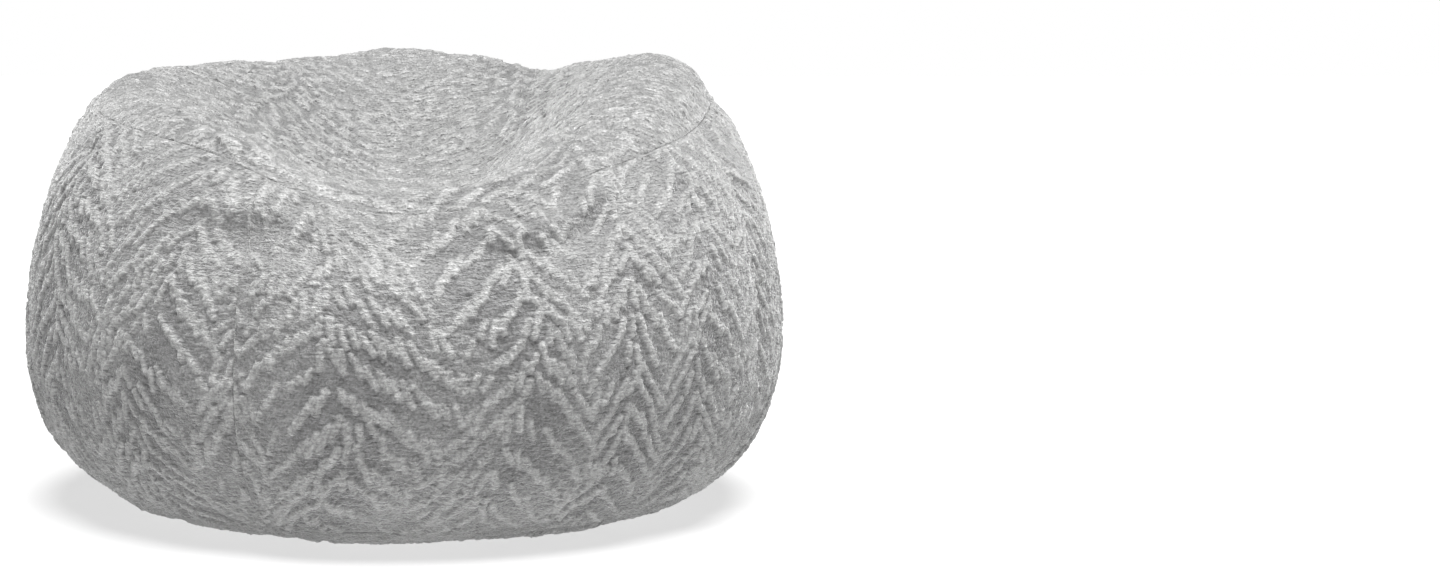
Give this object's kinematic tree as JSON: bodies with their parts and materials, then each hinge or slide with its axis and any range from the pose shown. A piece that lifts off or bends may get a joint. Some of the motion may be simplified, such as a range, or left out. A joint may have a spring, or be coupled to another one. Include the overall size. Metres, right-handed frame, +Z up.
{
  "type": "bean bag chair",
  "caption": "Round bean bag chair: a sewn plush cover over a zipped liner of beads, with a broad seat hollow that opens at a low front rim.",
  "frame": {"origin": "centre of the flat face that rests on the floor", "axes": "+Z up; -Y is the front, where the seat hollow's rim is lowest; +X is the sitter's left when facing out of the seat"},
  "size_m": [0.9978, 0.9978, 0.5879],
  "materials": {
    "plush": "matte",
    "binding": "matte",
    "zip_cloth": "matte",
    "coil": "satin",
    "steel": "satin",
    "label": "satin",
    "liner": "matte",
    "mesh": "matte",
    "beads": "matte"
  },
  "bodies": {
    "bag": {"cover_bottom_panel": "plush", "cover_side_panel_back": "plush", "cover_side_panel_left": "plush", "cover_side_panel_front": "plush", "cover_side_panel_right": "plush", "cover_top_panel": "plush", "top_seam_binding": "binding", "lower_seam_binding": "binding", "side_seam_binding_back_right": "binding", "side_seam_binding_back_left": "binding", "side_seam_binding_front_left": "binding", "side_seam_binding_front_right": "binding", "cover_zip_garage": "binding", "cover_zip_tape_upper": "zip_cloth", "cover_zip_tape_lower": "zip_cloth", "liner_zip_tape_upper": "zip_cloth", "liner_zip_tape_lower": "zip_cloth", "cover_zip_coil_upper": "coil", "cover_zip_coil_lower": "coil", "liner_zip_coil_upper": "coil", "liner_zip_coil_lower": "coil", "cover_zip_stop_closed": "steel", "cover_zip_stop_open": "steel", "liner_zip_stop_closed": "steel", "liner_zip_stop_open": "steel", "care_label": "label", "liner_bottom_panel": "liner", "liner_side_lower": "liner", "liner_side_upper": "liner", "liner_top_panel": "liner", "liner_vent_mesh": "mesh", "bead_fill": "beads"},
    "cover_zip_slider": {"cover_zip_slider": "steel"},
    "cover_zip_lock_pawl": {"cover_zip_lock_pawl": "steel"},
    "liner_zip_slider": {"liner_zip_slider": "steel"}
  },
  "joints": [
    {"name": "cover_zip_travel", "type": "hinge", "parent": "bag", "child": "cover_zip_slider", "pos_m": [0, 0, 0], "axis": [0, 0, 1], "range_deg": [0, 77]},
    {"name": "cover_zip_pawl_lift", "type": "hinge", "parent": "cover_zip_slider", "child": "cover_zip_lock_pawl", "pos_m": [0.12633, 0.39009, 0.02808], "axis": [-0.2582, -0.7974, -0.5454], "range_deg": [0, 14], "stiffness_Nm_per_rad": 0.00001},
    {"name": "liner_zip_travel", "type": "hinge", "parent": "bag", "child": "liner_zip_slider", "pos_m": [0, 0, 0], "axis": [0, 0, 1], "range_deg": [0, 68]}
  ]
}
